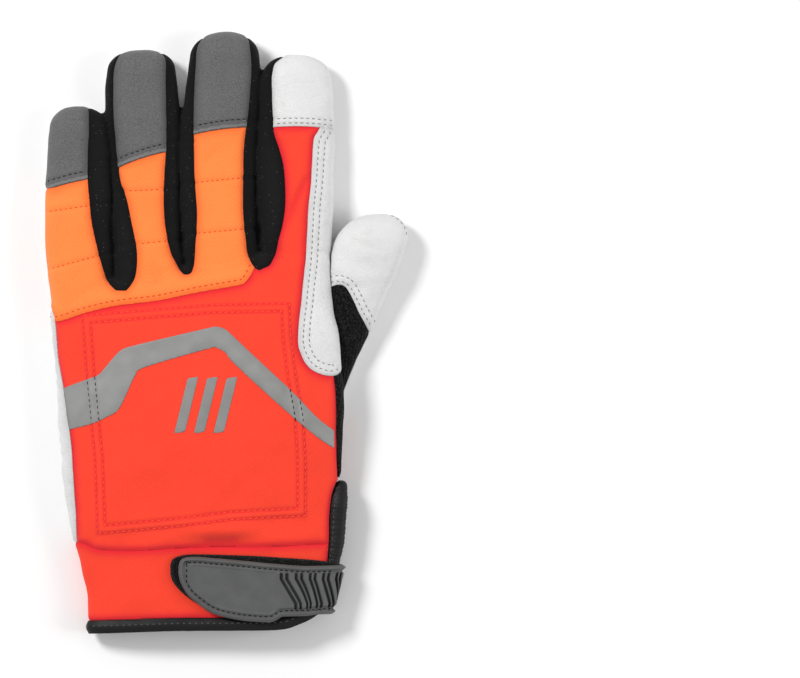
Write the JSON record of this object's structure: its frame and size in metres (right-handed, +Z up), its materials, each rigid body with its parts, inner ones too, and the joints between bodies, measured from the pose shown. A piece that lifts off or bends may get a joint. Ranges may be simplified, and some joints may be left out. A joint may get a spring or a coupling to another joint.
{
  "type": "chainsaw glove",
  "caption": "Left-hand forestry work glove with a cloth back, padded saw guard, reflective band, leather palm and hook-and-loop wrist closure, lying palm down.",
  "frame": {"origin": "under the middle of the glove's outline, on the surface that its palm lies on", "axes": "+Y from the wrist towards the fingertips, +X towards the thumb, +Z up from the palm to the back"},
  "size_m": [0.1564, 0.2588, 0.0273],
  "materials": {
    "white_leather": "smooth grain leather",
    "red_cloth": "matte softshell",
    "orange_cloth": "matte stretch weave",
    "grey_cloth": "coated weave",
    "black_cloth": "stretch weave",
    "black_knit": "ribbed knit",
    "black_binding": "rolled tape",
    "hook_tape": "hook-and-loop tape",
    "grey_rubber": "moulded matte rubber",
    "guard_fibre": "layered fibre pad",
    "reflective_tape": "reflective film"
  },
  "bodies": {
    "root": {"palm": "white_leather", "thumb": "white_leather", "fingertip_index": "white_leather", "back_panel": "red_cloth", "cuff": "red_cloth", "knuckle_panel": "orange_cloth", "fingertip_pinky": "grey_cloth", "fingertip_ring": "grey_cloth", "fingertip_middle": "grey_cloth", "fourchette_pinky_ring": "black_cloth", "fourchette_ring_middle": "black_cloth", "fourchette_middle_index": "black_cloth", "thumb_gusset": "black_knit", "side_strip": "black_knit", "hem_binding": "black_binding", "slit_binding": "black_binding", "hook_strap": "hook_tape", "closure_tab": "grey_rubber", "saw_guard": "guard_fibre", "reflective_band": "reflective_tape"}
  },
  "joints": []
}
